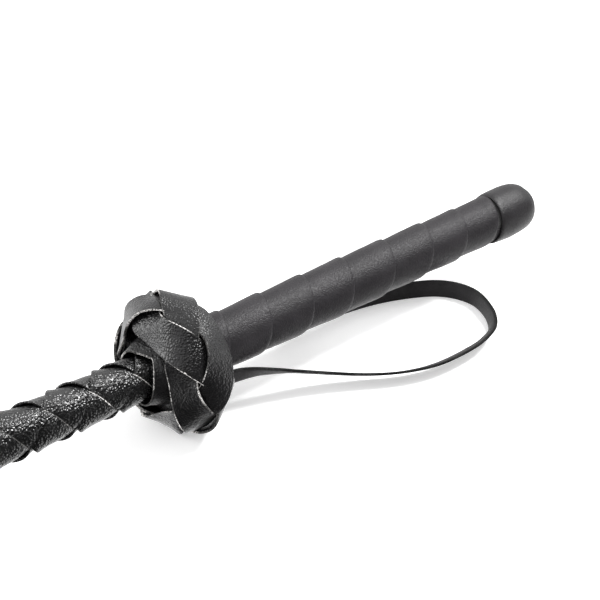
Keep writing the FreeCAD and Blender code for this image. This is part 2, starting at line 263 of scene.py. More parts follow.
# The pale edge is also a painted highlight where the plait's falling strands take it, and the dark
# edge painted shade where the rising strands take it.
PALE_EDGE = cut_edge("cut_edge", (0.006, 0.006, 0.006), (0.75, 0.73, 0.71))
DARK_EDGE = cut_edge("strap_edge", (0.005, 0.005, 0.005), (0.025, 0.025, 0.025))
BLACK_THREAD = thread("black_thread", (0.030, 0.030, 0.030), 0.0006)
INNER_PLASTIC = moulded("inner_plastic", (0.10, 0.10, 0.10), (0.14, 0.14, 0.14), 0.5, 900.0)
FELT = moulded("felt", (0.04, 0.04, 0.04), (0.09, 0.09, 0.09), 0.95, 1500.0)
BELLY_RUBBER = moulded("belly_rubber", (0.03, 0.03, 0.03), (0.05, 0.05, 0.05), 0.8, 700.0)
GLASS_ROD = moulded("glass_rod", (0.45, 0.44, 0.38), (0.6, 0.58, 0.5), 0.35, 1200.0)


# ---- mesh helpers -------------------------------------------------------------------------------
def add_piece(name, points, faces, materials, edge_faces=(), smooth=True):
    """A mesh object. edge_faces are the indices of faces that take the second material."""
    mesh = bpy.data.meshes.new(name)
    mesh.from_pydata([tuple(p) for p in points], [], faces)
    for material in materials:
        mesh.materials.append(material)
    for i in edge_faces:
        mesh.polygons[i].material_index = 1
    if smooth:
        mesh.polygons.foreach_set("use_smooth", [True] * len(mesh.polygons))
    mesh.validate()
    piece = bpy.data.objects.new(name, mesh)
    bpy.context.scene.collection.objects.link(piece)
    return piece


def tube_faces(stations, around, closed=False, first=0):
    """Faces of a skin over a row of sections, strip by strip. first is its first point. The row
    either closes on itself or gets a face at each end."""
    faces = []
    for i in range(stations if closed else stations - 1):
        here = first + i * around
        there = first + (i + 1) % stations * around
        for j in range(around):
            k = (j + 1) % around
            faces.append((here + j, here + k, there + k, there + j))
    if not closed:
        last = first + (stations - 1) * around
        faces.append(tuple(range(first, first + around))[::-1])
        faces.append(tuple(range(last, last + around)))
    return faces


def skin(name, sections, materials, edges=(), closed=False):
    """A closed skin over a row of equal cross-sections. sections is (stations, points round, 3).
    edges are the places round the section whose faces take the second material."""
    stations, around = sections.shape[:2]
    strips = stations if closed else stations - 1
    edge_faces = [i * around + j for i in range(strips) for j in edges]
    faces = tube_faces(stations, around, closed)
    return add_piece(name, sections.reshape(-1, 3), faces, materials, edge_faces)


def face_outward(piece):
    """Makes every face of a closed piece point outwards."""
    bpy.context.view_layer.objects.active = piece
    piece.select_set(True)
    bpy.ops.object.mode_set(mode="EDIT")
    bpy.ops.mesh.select_all(action="SELECT")
    bpy.ops.mesh.normals_make_consistent(inside=False)
    bpy.ops.object.mode_set(mode="OBJECT")
    piece.select_set(False)


def strap_section(count, bevel=0.12, margin=None):
    """Points round a flat strap's section: (across from -1 to 1, through from -1 to 1).
    The faces of its cut edges, at 1 and at -1, are at the places that are returned as well.
    With margin given, the outer faces next to the edges are that wide."""
    side = 1 - bevel * 0.4
    across = list(np.linspace(-side, side, count))
    if margin is not None:
        across[1:-1] = list(np.linspace(-side + margin, side - margin, count - 2))
    outer = [(u, 1.0) for u in across]
    right = [(1.0, 0.62), (1.0, -0.62)]
    inner = [(u, -1.0) for u in reversed(across)]
    left = [(-1.0, -0.62), (-1.0, 0.62)]
    return outer + right + inner + left, ({count - 1, count}, {2 * count + 2, 2 * count + 3})


def radial(angle):
    """Unit vectors out from the crop's axis, as an array over angle."""
    return np.stack([np.zeros_like(angle), np.sin(angle), np.cos(angle)], axis=-1)


def ripple(points, size, depth):
    """A smooth uneven height at each point, from -depth to depth."""
    flat = points.reshape(-1, 3)
    values = [noise.noise(Vector(p) / size) for p in flat]
    return np.array(values).reshape(points.shape[:-1]) * depth


def smooth_outline(points, steps):
    """More points along a smooth line through the given ones (Catmull-Rom)."""
    p = np.array(points)
    p = np.vstack([2 * p[0] - p[1], p, 2 * p[-1] - p[-2]])
    out = []
    for i in range(1, len(p) - 2):
        for t in np.arange(steps) / steps:
            out.append(0.5 * (
                2 * p[i] + (p[i + 1] - p[i - 1]) * t
                + (2 * p[i - 1] - 5 * p[i] + 4 * p[i + 1] - p[i + 2]) * t ** 2
                + (3 * p[i] - p[i - 1] - 3 * p[i + 1] + p[i + 2]) * t ** 3
            ))
    out.append(p[-2])
    return np.array(out)


def turned_piece(name, outline, materials, shift, dent, around=96, dent_size=0.01, edge=None):
    """A piece turned about the crop's axis, from an outline of (x, radius). shift gives how far a
    point moves along X, from its x and its angle. dent is how uneven the piece is, and dent_size
    the size of its dents. With edge given, the outline closes on itself, and its part from that
    point to the next takes the second material."""
    angle = np.linspace(0, 2 * math.pi, around, endpoint=False)
    out = radial(angle)
    rings = []
    for x, r in outline:
        rings.append(np.array([x, 0, 0]) + out * r)
    rings = np.stack(rings)
    rings[..., 0] += shift(rings[..., 0], angle)
    uneven = ripple(rings, dent_size, dent)
    size = np.linalg.norm(rings[..., 1:], axis=-1, keepdims=True)
    rings[..., 1:] *= 1 + uneven[..., None] / np.maximum(size, 0.002)
    if edge is None:
        return skin(name, rings, materials)
    return skin(name, np.swapaxes(rings, 0, 1), materials, {edge}, closed=True)


def finish_piece(piece, body, node):
    """Gives a piece its body, and puts it in the place of the CAD node."""
    face_outward(piece)
    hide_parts(node)
    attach(piece, body)


# ---- wrist strap --------------------------------------------------------------------------------
STRAP_W = 0.0095
STRAP_T = 0.0013
STRAP_TAIL = 0.012           # how far the strap's ends go on into the knot
TAIL_GAP = 0.00005           # between the strap and its tails, which ride on the crop
STRAP_Z = FLOOR_Z + STRAP_W / 2
# The route from the knot and back, from the knot's centre: the CAD strap's route.
STRAP_ROUTE = [
    (-0.0170, 0.0095, -0.0125),
    (-0.0300, 0.0105, -0.0140),
    (-0.0480, 0.0160, -0.0186),
    (-0.0640, 0.0234, -0.0232),
    (-0.0790, 0.0326, -0.0262),
    (-0.0930, 0.0420, STRAP_Z),
    (-0.1090, 0.0485, STRAP_Z),
    (-0.1270, 0.0498, STRAP_Z),
    (-0.1440, 0.0484, STRAP_Z),
    (-0.1565, 0.0430, STRAP_Z),
    (-0.1645, 0.0315, STRAP_Z),
    (-0.1690, 0.0175, STRAP_Z),
    (-0.1625, 0.0020, STRAP_Z),
    (-0.1465, -0.0078, STRAP_Z),
    (-0.1290, -0.0145, STRAP_Z),
    (-0.1080, -0.0182, STRAP_Z),
    (-0.0860, -0.0198, STRAP_Z),
    (-0.0660, -0.0188, -0.0244),
    (-0.0480, -0.0152, -0.0192),
    (-0.0300, -0.0110, -0.0140),
    (-0.0170, -0.0100, -0.0125),
]
# How far the strap leans outwards from standing on its edge: share of its length, and degrees.
STRAP_LEAN = [
    (0.0, 20), (0.025, 23), (0.06, 42), (0.10, 54), (0.30, 54), (0.37, 50),
    (0.414, 37), (0.44, 14), (0.47, 4), (0.52, 0), (0.85, 0), (1.0, -50),
]


def route_line(points):
    """Points along the smooth line of a NURBS spline, read from a curve with no bevel."""
    data = bpy.data.curves.new("strap_route", "CURVE")
    data.dimensions = "3D"
    data.resolution_u = 16
    spline = data.splines.new("NURBS")
    spline.points.add(len(points) - 1)
    for control, (x, y, z) in zip(spline.points, points):
        control.co = (KNOT_X + x, y, z, 1)
    spline.order_u = 3
    spline.use_endpoint_u = True
    holder = bpy.data.objects.new("strap_route", data)
    bpy.context.scene.collection.objects.link(holder)
    bpy.context.view_layer.update()
    evaluated = holder.evaluated_get(bpy.context.evaluated_depsgraph_get())
    mesh = bpy.data.meshes.new_from_object(evaluated)
    line = np.array([v.co for v in mesh.vertices])
    bpy.data.objects.remove(holder)
    bpy.data.meshes.remove(mesh)
    return line


def lengths_along(line):
    """The length of the line up to each of its points."""
    steps = np.linalg.norm(np.diff(line, axis=0), axis=1)
    return np.concatenate([[0], np.cumsum(steps)])


def add_wrist_strap():
    """The loop, and its two ends inside the knot."""
    line = route_line(STRAP_ROUTE)
    along = lengths_along(line)
    share = along / along[-1]
    lean = np.radians(np.interp(share, *zip(*STRAP_LEAN)))
    forward = np.gradient(line, along, axis=0)
    forward /= np.linalg.norm(forward, axis=1)[:, None]
    up = np.array([0, 0, 1]) - forward[:, 2:3] * forward
    up /= np.linalg.norm(up, axis=1)[:, None]
    side = np.cross(up, forward)
    width = up * np.cos(lean)[:, None] - side * np.sin(lean)[:, None]
    face = np.cross(forward, width)
    shape, (upper_edge, lower_edge) = strap_section(7)
    sections = np.stack([
        line + width * (u * STRAP_W / 2) + face * (t * STRAP_T / 2)
        for u, t in shape
    ], axis=1)
    edges = upper_edge | lower_edge
    strap = skin("wrist_strap_leather", sections, [STRAP_LEATHER, DARK_EDGE], edges)
    for name, end, inward in (("tail_1", 0, -forward[0]), ("tail_2", -1, forward[-1])):
        reach = np.linspace(TAIL_GAP, STRAP_TAIL, 8)[:, None, None]
        tail = skin(
            "wrist_strap_" + name, sections[end] + reach * inward,
            [STRAP_LEATHER, DARK_EDGE], edges,
        )
        finish_piece(tail, "crop", "wrist_strap_tails")
    face_outward(strap)
    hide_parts("wrist_strap")
    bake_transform(strap)


add_wrist_strap()


# ---- handle wrap --------------------------------------------------------------------------------
WRAP_T = 0.0009
WRAP_OVERLAP = 0.005
SEAM_ANGLE = math.radians(-36.9)
FIRST_SEAM = 0.0278          # the first seam behind the knot, from the knot's centre, at SEAM_ANGLE
WRAP_PITCHES = [0.0229, 0.0250, 0.0240, 0.0270, 0.0256, 0.0232, 0.0222]
WRAP_PITCH = 0.0243          # of the turns under the knot and the cap
WRAP_START = 0.35            # of a turn, left out at the butt
WRAP_WOBBLE = 0.0005         # how far the covering edge strays along the handle
WRAP_ROLL = 0.00035          # how far the covering edge is rolled down
WRAP_UNEVEN = 0.00018
TURN_STEPS = 96
# Radius over the wrap against the distance from the knot's centre.
HANDLE_R = [(0.0, 0.0131), (0.11, 0.0130), (0.17, 0.0124), (0.20, 0.0122), (0.23, 0.0120)]
# Places across the strap, as shares of its width from the covering edge.
WRAP_ACROSS = [0.0, 0.012, 0.03, 0.08, 0.16, 0.28, 0.42, 0.56, 0.70, 0.82, 0.92, 0.98, 1.0]


def seam_places():
    """Turn numbers and the x of the covering edge there."""
    distances = [FIRST_SEAM - WRAP_PITCH, FIRST_SEAM]
    for pitch in WRAP_PITCHES:
        distances.append(distances[-1] + pitch)
    distances.append(distances[-1] + WRAP_PITCH)
    turns = -np.arange(len(distances), dtype=float)
    return turns[::-1], KNOT_X - np.array(distances)[::-1]


def handle_radius(x):
    distance, r = zip(*HANDLE_R)
    return np.interp(KNOT_X - x, distance, r)


def add_handle_wrap():
    """One strap wound towards the knot. Each turn covers the front of the one behind it."""
    turns, places = seam_places()
    count = int((turns[-1] - turns[0]) * TURN_STEPS)
    turn = np.linspace(turns[0] + WRAP_START, turns[-1], count)
    edge_x = np.interp(turn, turns, places)
    pitch = np.gradient(edge_x, turn)
    angle = SEAM_ANGLE + turn * 2 * math.pi
    out = radial(angle)
    wobble = np.array([noise.noise(Vector((t * 2.2, 3.1, 0))) for t in turn]) * WRAP_WOBBLE
    sections = []
    for through in (0, 1):
        for share in WRAP_ACROSS[::-1] if through else WRAP_ACROSS:
            u = share * (pitch + WRAP_OVERLAP)
            x = np.minimum(edge_x + wobble + u, WRAP_BOX[1].x)
            fall = (WRAP_T + 0.0001) * np.minimum(u / pitch, 1.15)
            rolled = 0 if through else WRAP_ROLL * math.exp(-share / 0.02)
            row = out * (handle_radius(x) - fall - rolled - through * WRAP_T)[:, None]
            row[:, 0] += x
            sections.append(row)
    sections = np.stack(sections, axis=1)
    uneven = ripple(sections, 0.011, WRAP_UNEVEN)
    sections += radial(np.broadcast_to(angle[:, None], uneven.shape)) * uneven[..., None]
    covering_edge = 2 * len(WRAP_ACROSS) - 1
    wrap = skin("handle_wrap_strap", sections, [HANDLE_LEATHER, DARK_EDGE], {covering_edge})
    finish_piece(wrap, "crop", "handle_wrap")


add_handle_wrap()


# ---- butt cap -----------------------------------------------------------------------------------
CAP_EDGE_X = CAP_BOX[1].x
BUTT_X = CAP_BOX[0].x
CAP_INNER_R = 0.0113
CAP_END_T = 0.0015
# Outside of the cap from its open edge to the middle of the end: (x from the butt's face, radius).
CAP_OUTLINE = [
    (0.0312, 0.0116), (0.0319, 0.0118), (0.0320, 0.0121), (0.0314, 0.0125), (0.0296, 0.0128),
    (0.0260, 0.0130), (0.0200, 0.0131), (0.0150, 0.0131), (0.0110, 0.0129), (0.0080, 0.0124),
    (0.0056, 0.0115), (0.0036, 0.0101), (0.0020, 0.0083), (0.0009, 0.0060), (0.0003, 0.0036),
    (0.0, 0.0010),
]
CAP_LEAN = 0.0022            # how far the cap's edge slants, most towards the butt at CAP_LEAN_SIDE
CAP_LEAN_SIDE = math.radians(-37)
CAP_LEAN_FROM = 0.012        # from the butt's face
CAP_LEAN_FULL = 0.032


def cap_shift(x, angle):
    share = np.clip((x - BUTT_X - CAP_LEAN_FROM) / (CAP_LEAN_FULL - CAP_LEAN_FROM), 0, 1)
    return -CAP_LEAN * (1 + np.cos(angle - CAP_LEAN_SIDE)) * share


def add_butt_cap():
    outside = smooth_outline(CAP_OUTLINE, 4)
    outside[:, 0] += BUTT_X
    inside = np.array([
        (BUTT_X + CAP_END_T, 0.001),
        (BUTT_X + CAP_END_T, CAP_INNER_R - 0.003),
        (BUTT_X + 0.005, CAP_INNER_R),
        (CAP_EDGE_X - 0.0005, CAP_INNER_R),
    ])
    outline = np.vstack([outside[::-1], inside[::-1]])
    cap = turned_piece("butt_cap_leather", outline, [CAP_LEATHER], cap_shift, dent=0.0003)
    finish_piece(cap, "crop", "butt_cap")


add_butt_cap()


# ---- shaft plait --------------------------------------------------------------------------------
STRANDS_EACH_WAY = 2
SHAFT_REAR = 0.003           # from the knot's centre to the rear end of the strands
SHAFT_LENGTH = STRAND_BOX[1].x - STRAND_BOX[0].x
# Radius over the plait against the distance from the knot's centre.
SHAFT_R = [
    (0.0, 0.0092), (0.017, 0.0092), (0.026, 0.0100), (0.09, 0.0098), (0.26, 0.0076),
    (0.428, 0.0042),
]
LEAD_RATIO = 4.2             # a strand's lead, in radii of the plait
ROW_ANGLE = math.radians(115)        # of a row of crossings with a falling strand on top
PLAIT_PHASE = math.radians(17)
PLAIT_TWIST = math.radians(-300)     # how far the rows turn round the shaft, per metre
TWIST_FROM = 0.055           # distance from the knot's centre where a row is at ROW_ANGLE
STRAND_T = 0.0012
STRAND_FILL = 0.97           # a strand's width against the room for it
PLAIT_LIFT = 0.0009          # how far a strand rises and dips from the middle of the plait
EDGE_LIFT = 0.0011           # how far its edge on the keeper's side stands up where it is on top
PLAIT_R = 0.0100             # the plait's radius where a strand has this thickness and lift
STRAND_STEPS = 14            # per crossing


def plait_radius(distance):
    return np.interp(distance, *zip(*SHAFT_R))


def plait_tables():
    """The distance along the shaft and the angle that a strand has turned there."""
    distance = np.linspace(SHAFT_REAR - 0.03, SHAFT_REAR + SHAFT_LENGTH + 0.03, 3000)
    rate = 2 * math.pi / (LEAD_RATIO * plait_radius(distance))
    turned = np.concatenate([[0], np.cumsum((rate[1:] + rate[:-1]) / 2 * np.diff(distance))])
    return distance, turned - np.interp(SHAFT_REAR, distance, turned)


def weave(wave):
    """Flattened wave from -1 to 1: a strand stays up over the one that it crosses, then dips."""
    return np.tanh(1.6 * wave) / math.tanh(1.6)


def add_strand(number, rising, index):
    """Rising strands turn from the top to the +Y side on the way to the keeper, falling ones back.
    A point of the weave has a place across each family of strands, in strand spacings, and so an
    angle round the shaft and a distance along it."""
    distance, turned = plait_tables()
    whole = np.interp(SHAFT_REAR + SHAFT_LENGTH, distance, turned)
    spacings = 2 * whole / math.pi
    travel = np.linspace(0, spacings, int(spacings * STRAND_STEPS))
    shape, (far_edge, near_edge) = strap_section(9)
    rows = []
    for u, t in shape:
        across = index + u * STRAND_FILL / 2
        other = index + travel if rising else index - travel
        first, second = (across, other) if rising else (other, across)
        turn = (second - first) * math.pi / 2 + PLAIT_PHASE
        far = np.interp(turn, turned, distance)
        angle = ROW_ANGLE + (first + second) * math.pi / 2 + PLAIT_TWIST * (far - TWIST_FROM)
        sign = (-1) ** index * (-1 if rising else 1)
        height = weave(np.cos(math.pi * other)) * sign
        scale = plait_radius(far) / PLAIT_R
        thick = STRAND_T * (0.6 + 0.4 * scale)
        lift = PLAIT_LIFT * (0.6 + 0.4 * scale)
        middle = plait_radius(far) - lift - thick / 2
        keeper_side = max(-u if rising else u, 0)
        edge_lift = EDGE_LIFT * scale * keeper_side ** 3 * np.clip(height, 0, 1)
        r = middle + lift * height + edge_lift + t * thick / 2
        row = radial(angle) * r[:, None]
        row[:, 0] += KNOT_X + far
        rows.append(row)
    sections = np.stack(rows, axis=1)
    butt_side = far_edge if rising else near_edge
    # Lit and shaded copies of one edge: the pale edge is a painted highlight on falling strands,
    # the dark edge painted shade on rising ones.
    edge = DARK_EDGE if rising else PALE_EDGE
    strand = skin("plait_strap_%d" % number, sections, [PLAIT_LEATHER, edge], butt_side)
    finish_piece(strand, "crop", "shaft_strand_%d" % number)


for strand in range(STRANDS_EACH_WAY):
    add_strand(2 * strand + 1, True, strand)
    add_strand(2 * strand + 2, False, strand)


# ---- knot ---------------------------------------------------------------------------------------
# One strap woven round the ring in three laps, with five bights at each rim. A place over the
# ring's tube is an angle from its outermost line: positive towards the keeper, negative towards the
# butt. A place along the strap is its angle in the weave's wave: 90 at a front bight, 270 at a rear
# one, and 30, 150, 210 and 330 where it crosses itself.
LAPS = 3
BIGHTS = 5
KNOT_STRAP_W = 0.0143
KNOT_STRAP_T = 0.0015
KNOT_FRONT = 1.25                   # how much deeper the front of the knot is than its rear
KNOT_MIDDLE = math.radians(14)      # middle of the weave over the ring's tube
KNOT_LEAN = math.radians(8)         # how far the middle shifts to the front, most at KNOT_LEAN_SIDE
KNOT_LEAN_SIDE = math.radians(60)
KNOT_REACH = math.radians(56)       # from the middle of the weave to a bight
FIRST_BIGHT = math.radians(5)
FLAT_R = 0.0102                     # the strap lies flat against a tube of this radius
KNOT_STEPS = 300                    # per lap
KNOT_ACROSS = 11                    # points across the strap
FLOOR_GAP = 0.0001                  # the strap stays this far above the floor
KNOT_CORE_R = 0.0064
KNOT_CORE_REAR = 0.0014             # how much thicker the core is on the side of the handle
# Distance of the strap's middle from the centre of the ring's tube along the weave: over, under.
STRAP_MIDDLE = [
    (30, 0.0076), (90, 0.0094), (150, 0.0102), (210, 0.0076), (270, 0.0094), (330, 0.0102),
]
# The same for its edge on the keeper's side. Its other edge does this half a wave later.
STRAP_EDGE = [
    (28, 0.0080), (55, 0.0122), (125, 0.0122), (172, 0.0120), (191, 0.0108), (209, 0.0080),
    (261, 0.0080), (279, 0.0108), (305, 0.0120), (331, 0.0108), (349, 0.0080),
]
# Where the knot is slack and stands out: around the crop and over the tube in degrees, and how far.
SLACK = [(221, 78, 0.0024), (150, -5, 0.0014)]
SLACK_SPREAD = math.radians(30)
# The coating has also worn off beside the front edge at one bight, between these degrees around
# the crop and along the wave.
WORN_AROUND = (55, 128)
WORN_PLACE = (50, 178)
WORN_WIDTH = 0.045                  # in halves of the strap's width


def on_ring(around, over, level):
    """Points at level from the centre of the ring's tube, at angles around the crop and over it."""
    out = radial(around)
    for side, place, rise in SLACK:
        away = 2 - np.cos(around - math.radians(side)) - np.cos(over - math.radians(place))
        level = level + rise * np.exp(-2 * away / SLACK_SPREAD ** 2)
    forward = level * np.sin(over)
    forward = np.where(forward > 0, forward * KNOT_FRONT, forward)
    place = out * (KNOT_RING_R + level * np.cos(over))[:, None]
    place[:, 0] += KNOT_X + forward
    return place


def level_along(place, table, spread=8):
    """The level at each place along the weave, from a table that repeats. Corners are rounded."""
    places, levels = zip(*table)
    level = np.interp(place, places, levels, period=360)
    window = np.hanning(2 * spread + 3)
    padded = np.concatenate([level[-spread - 1:], level, level[:spread + 1]])
    return np.convolve(padded, window / window.sum(), mode="valid")


def between(values, ends):
    return (values > ends[0]) & (values < ends[1])


def add_knot_strap():
    """The strap follows the wave round the ring. run and climb are the parts of its direction
    round the ring and over the tube."""
    count = KNOT_STEPS * LAPS
    path = np.arange(count) / KNOT_STEPS * 2 * math.pi
    wave = path * BIGHTS / LAPS
    place = np.degrees(wave)
    around = FIRST_BIGHT + path - math.pi / 2 * LAPS / BIGHTS
    over = KNOT_MIDDLE + KNOT_LEAN * np.cos(around - KNOT_LEAN_SIDE) + KNOT_REACH * np.sin(wave)
    line = on_ring(around, over, np.full(count, FLAT_R))
    forward = np.roll(line, -1, axis=0) - np.roll(line, 1, axis=0)
    forward /= np.linalg.norm(forward, axis=1)[:, None]
    round_way = np.stack([np.zeros(count), np.cos(around), -np.sin(around)], axis=-1)
    over_way = -radial(around) * np.sin(over)[:, None]
    over_way[:, 0] += np.cos(over)
    run = (forward * round_way).sum(1)
    climb = (forward * over_way).sum(1)
    size = np.hypot(run, climb)
    run, climb = run / size, climb / size
    middle = level_along(place, STRAP_MIDDLE)
    front_edge = level_along(place, STRAP_EDGE)
    rear_edge = level_along(place + 180, STRAP_EDGE)
    shape, (front_cut, rear_cut) = strap_section(KNOT_ACROSS, margin=WORN_WIDTH)
    rows = []
    for u, t in shape:
        reach = u * KNOT_STRAP_W / 2
        level = middle * (1 - u * u) + front_edge * (u * u + u) / 2 + rear_edge * (u * u - u) / 2
        aside = around - climb * reach / (KNOT_RING_R + level * np.cos(over))
        tilted = over + np.arctan(run * reach / FLAT_R)
        rows.append(on_ring(aside, tilted, level + t * KNOT_STRAP_T / 2))
    sections = np.stack(rows, axis=1)
    sections[..., 2] = np.maximum(sections[..., 2], FLOOR_Z + FLOOR_GAP)
    cuts = front_cut | rear_cut
    strap = skin("knot_strap_leather", sections, [KNOT_LEATHER, PALE_EDGE], cuts, closed=True)
    worn = between(np.degrees(around) % 360, WORN_AROUND) & between(place % 360, WORN_PLACE)
    for station in np.flatnonzero(worn):
        strap.data.polygons[int(station) * len(shape) + KNOT_ACROSS - 2].material_index = 1
    finish_piece(strap, "crop", "knot_strap")


def add_knot_core():
    """The ring that the knot is woven over, covered in the same leather."""
    count = 96
    around = np.linspace(0, 2 * math.pi, count, endpoint=False)
    rows = []
    for over in np.linspace(0, 2 * math.pi, 36, endpoint=False):
        level = KNOT_CORE_R + KNOT_CORE_REAR * max(-math.cos(over), 0)
        rows.append(on_ring(around, np.full(count, over), np.full(count, level)))
    sections = np.stack(rows, axis=1)
    sections += ripple(sections, 0.006, 0.0002)[..., None]
    core = skin("knot_core_cover", sections, [KNOT_LEATHER], closed=True)
    finish_piece(core, "crop", "knot_core")


add_knot_strap()
add_knot_core()


# ---- cuff at the shaft's root -------------------------------------------------------------------
# Outside of the cuff, from inside the knot to its open front: (x from the knot's centre, radius).
CUFF_OUTLINE = [
    (0.0092, 0.0150), (0.0115, 0.0152), (0.0145, 0.0143), (0.0172, 0.0131), (0.0190, 0.0125),
]
CUFF_T = 0.0009
# How far its front edge stands forward: angle round the crop in degrees, and distance.
CUFF_FRONT = [
    (-180, 0.0012), (-60, 0.0010), (-5, 0.0004), (28, -0.0036), (62, -0.0004), (95, 0.0016),
    (140, 0.0018),
]
CUFF_SHIFT_FROM = 0.0100     # from the knot's centre
CUFF_SHIFT_FULL = 0.0190


def cuff_shift(x, angle):
    share = np.clip((x - KNOT_X - CUFF_SHIFT_FROM) / (CUFF_SHIFT_FULL - CUFF_SHIFT_FROM), 0, 1)
    places, distances = zip(*CUFF_FRONT)
    return share * np.interp(np.degrees(angle), places, distances, period=360)


def add_cuff():
    """Leather turned round the shaft's root. Its front edge stands clear of the plait."""
    outside = smooth_outline(CUFF_OUTLINE, 5)
    outside[:, 0] += KNOT_X
    inside = outside[::-1] - np.array([0, CUFF_T])
    cuff = turned_piece(
        "shaft_cuff_leather", np.vstack([outside, inside]), [KNOT_LEATHER, PALE_EDGE], cuff_shift,
        dent=0.0005, around=120, dent_size=0.008, edge=len(outside) - 1,
    )
    finish_piece(cuff, "crop", "shaft_collar")


add_cuff()


# ---- tip and keeper -----------------------------------------------------------------------------
WHIPPING_TURNS = 17
WHIPPING_R = WHIPPING_BOX[1].z
THREAD_HEIGHT = 0.0006
THREAD_TAPER = 0.25          # of a turn, at each end
LEAF_T = 0.0016
LEAF_GAP = 0.0002
NECK_W = 0.0100
NECK_ROOT_R = 0.0044         # of the neck where the thread holds it
NECK_ROUNDING = 0.0004       # of its front end
NECK_FLATTENS = 0.006        # the length over which it goes flat
NECK_SEAM = 0.09             # how deep the line between its two leaves is, in half widths
HINGE_X = 0.66               # of the keeper's hinge
HINGE_R = 0.00185            # the tongue's root is rounded about the hinge, close to the neck's end
TONGUE_PRESSED = 0.00022     # how deep the leather is pressed down along the stitches
TONGUE_EDGE_DROP = 0.00025   # and along its cut edges
TONGUE_W = TONGUE_BOX[1].y - TONGUE_BOX[0].y
TONGUE_LENGTH = TONGUE_BOX[1].x - HINGE_X
# Half width of the tongue against the distance from its hinge.
TONGUE_SIDE = [
    (-0.0019, 0.0047), (0.0, 0.0049), (0.006, 0.0050), (0.010, 0.0060), (0.016, 0.0090),
    (0.022, 0.0122), (0.026, 0.0136), (0.032, 0.0140), (0.0590, 0.0140), (0.0630, 0.0131),
    (0.0652, 0.0115), (0.0660, 0.0098),
]
STITCHED_HALF_W = 0.0125     # the stitches are where the tongue is wider than this
STITCH_FROM = 0.027          # from the hinge
STITCH_TO_END = 0.008        # left free at the tongue's end
STITCH_SPACING = 0.0044
STITCH_LENGTH = 0.0031
STITCH_INSET = 0.0024
STITCH_R = 0.00042


def add_whipping():
    """One waxed thread wound close round the shaft's tip, with its ends tucked in."""
    length = WHIPPING_BOX[1].x - WHIPPING_BOX[0].x
    pitch = length / (WHIPPING_TURNS + 0.9)     # 0.9 of a turn is left for the thread's own width
    turn = np.linspace(0, WHIPPING_TURNS, WHIPPING_TURNS * 30)
    out = radial(turn * 2 * math.pi)
    end = np.minimum(turn, WHIPPING_TURNS - turn)
    size = np.clip(end / THREAD_TAPER, 0.25, 1)
    loose = np.array([noise.noise(Vector((t * 1.3, 0.7, 0))) for t in turn]) * 0.00005
    x = WHIPPING_BOX[0].x + pitch * 0.55 + turn * pitch + loose
    rows = []
    for a in np.linspace(0, 2 * math.pi, 8, endpoint=False):
        r = WHIPPING_R - THREAD_HEIGHT / 2 * (2 - size) + math.cos(a) * size * THREAD_HEIGHT / 2
        row = out * r[:, None]
        row[:, 0] += x + math.sin(a) * size * pitch * 0.5
        rows.append(row)
    binding = skin("tip_whipping_thread", np.stack(rows, axis=1), [BLACK_THREAD])
    finish_piece(binding, "crop", "tip_whipping")


def add_keeper_neck():
    """The keeper's root: round where the thread holds it, then pressed flat."""
    rear, front = NECK_BOX[0].x, NECK_BOX[1].x
    end = front - NECK_ROUNDING * (1 - np.sin(np.linspace(0.2, 1.57, 7)))
    x = np.concatenate([np.linspace(rear, front - NECK_ROUNDING, 60), end])
    flat = np.clip((x - WHIPPING_BOX[1].x + 0.001) / NECK_FLATTENS, 0, 1)
    flat = flat * flat * (3 - 2 * flat)
    half_w = NECK_ROOT_R + (NECK_W / 2 - NECK_ROOT_R) * flat
    half_t = NECK_ROOT_R + (LEAF_T + LEAF_GAP / 2 - NECK_ROOT_R) * flat
    into_end = ((x - front + NECK_ROUNDING) / NECK_ROUNDING).clip(0, 1)
    rounded = np.sqrt(np.clip(1 - into_end ** 2, 0.4, 1))
    corner = 2 / (2 + 4 * flat)
    rows = []
    for a in np.linspace(0, 2 * math.pi, 40, endpoint=False):
        y = half_w * np.sign(math.cos(a)) * abs(math.cos(a)) ** corner
        z = half_t * rounded * np.sign(math.sin(a)) * abs(math.sin(a)) ** corner
        seam = 1 - NECK_SEAM * flat * math.exp(-(math.sin(a) / 0.12) ** 2)
        rows.append(np.stack([x, y * seam, z], axis=-1))
    sections = np.stack(rows, axis=1)
    sections[..., 1:] += ripple(sections, 0.004, 0.00006)[..., None]
    neck = skin("keeper_neck_leather", sections, [KEEPER_LEATHER])
    finish_piece(neck, "crop", "keeper_neck")


